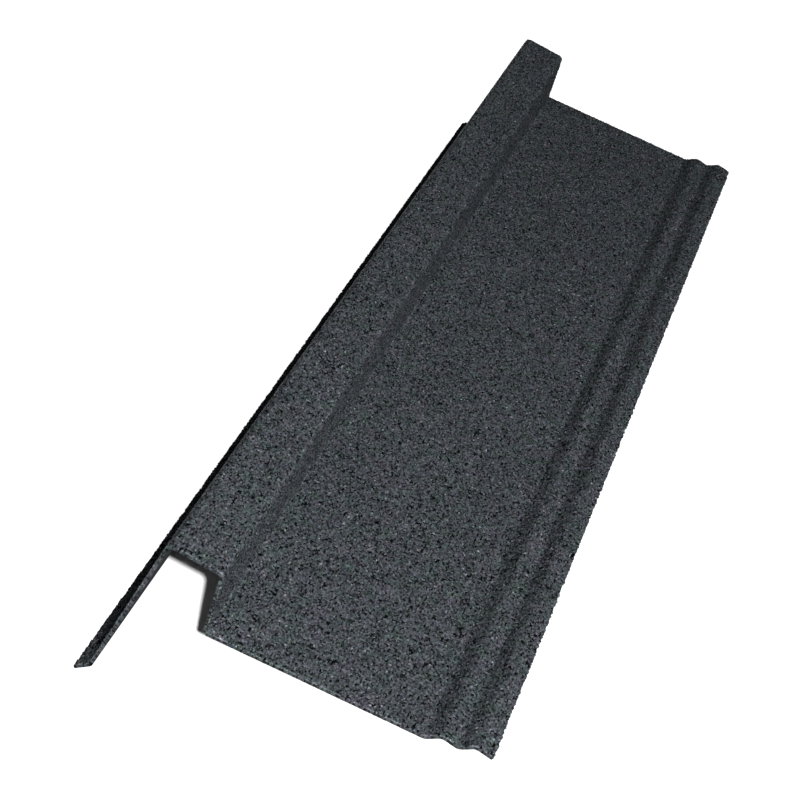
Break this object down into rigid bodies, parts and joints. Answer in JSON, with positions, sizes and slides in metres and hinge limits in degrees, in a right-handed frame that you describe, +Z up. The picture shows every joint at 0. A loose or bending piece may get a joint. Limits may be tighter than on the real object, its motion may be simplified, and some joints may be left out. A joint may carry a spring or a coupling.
{
  "type": "verge flashing",
  "caption": "Long folded strip of stone-coated sheet steel with a lipped verge flange, raised cap, upright web and wide pan with stepped water stops, weathering a roof's gable edge.",
  "frame": {"origin": "on the floor, under the middle of the piece's box, as it lies unheld on the drip lip's free edge and the pan's outer edge", "axes": "+Y along the folds, +X from the verge flange towards the water stops, +Z up"},
  "size_m": [0.2884, 1.25, 0.1061],
  "materials": {
    "stone_coated_steel": "matt charcoal stone granules bonded to sheet steel, smooth dark primer underneath"
  },
  "bodies": {
    "root": {"verge_flashing": "stone_coated_steel"}
  },
  "joints": []
}
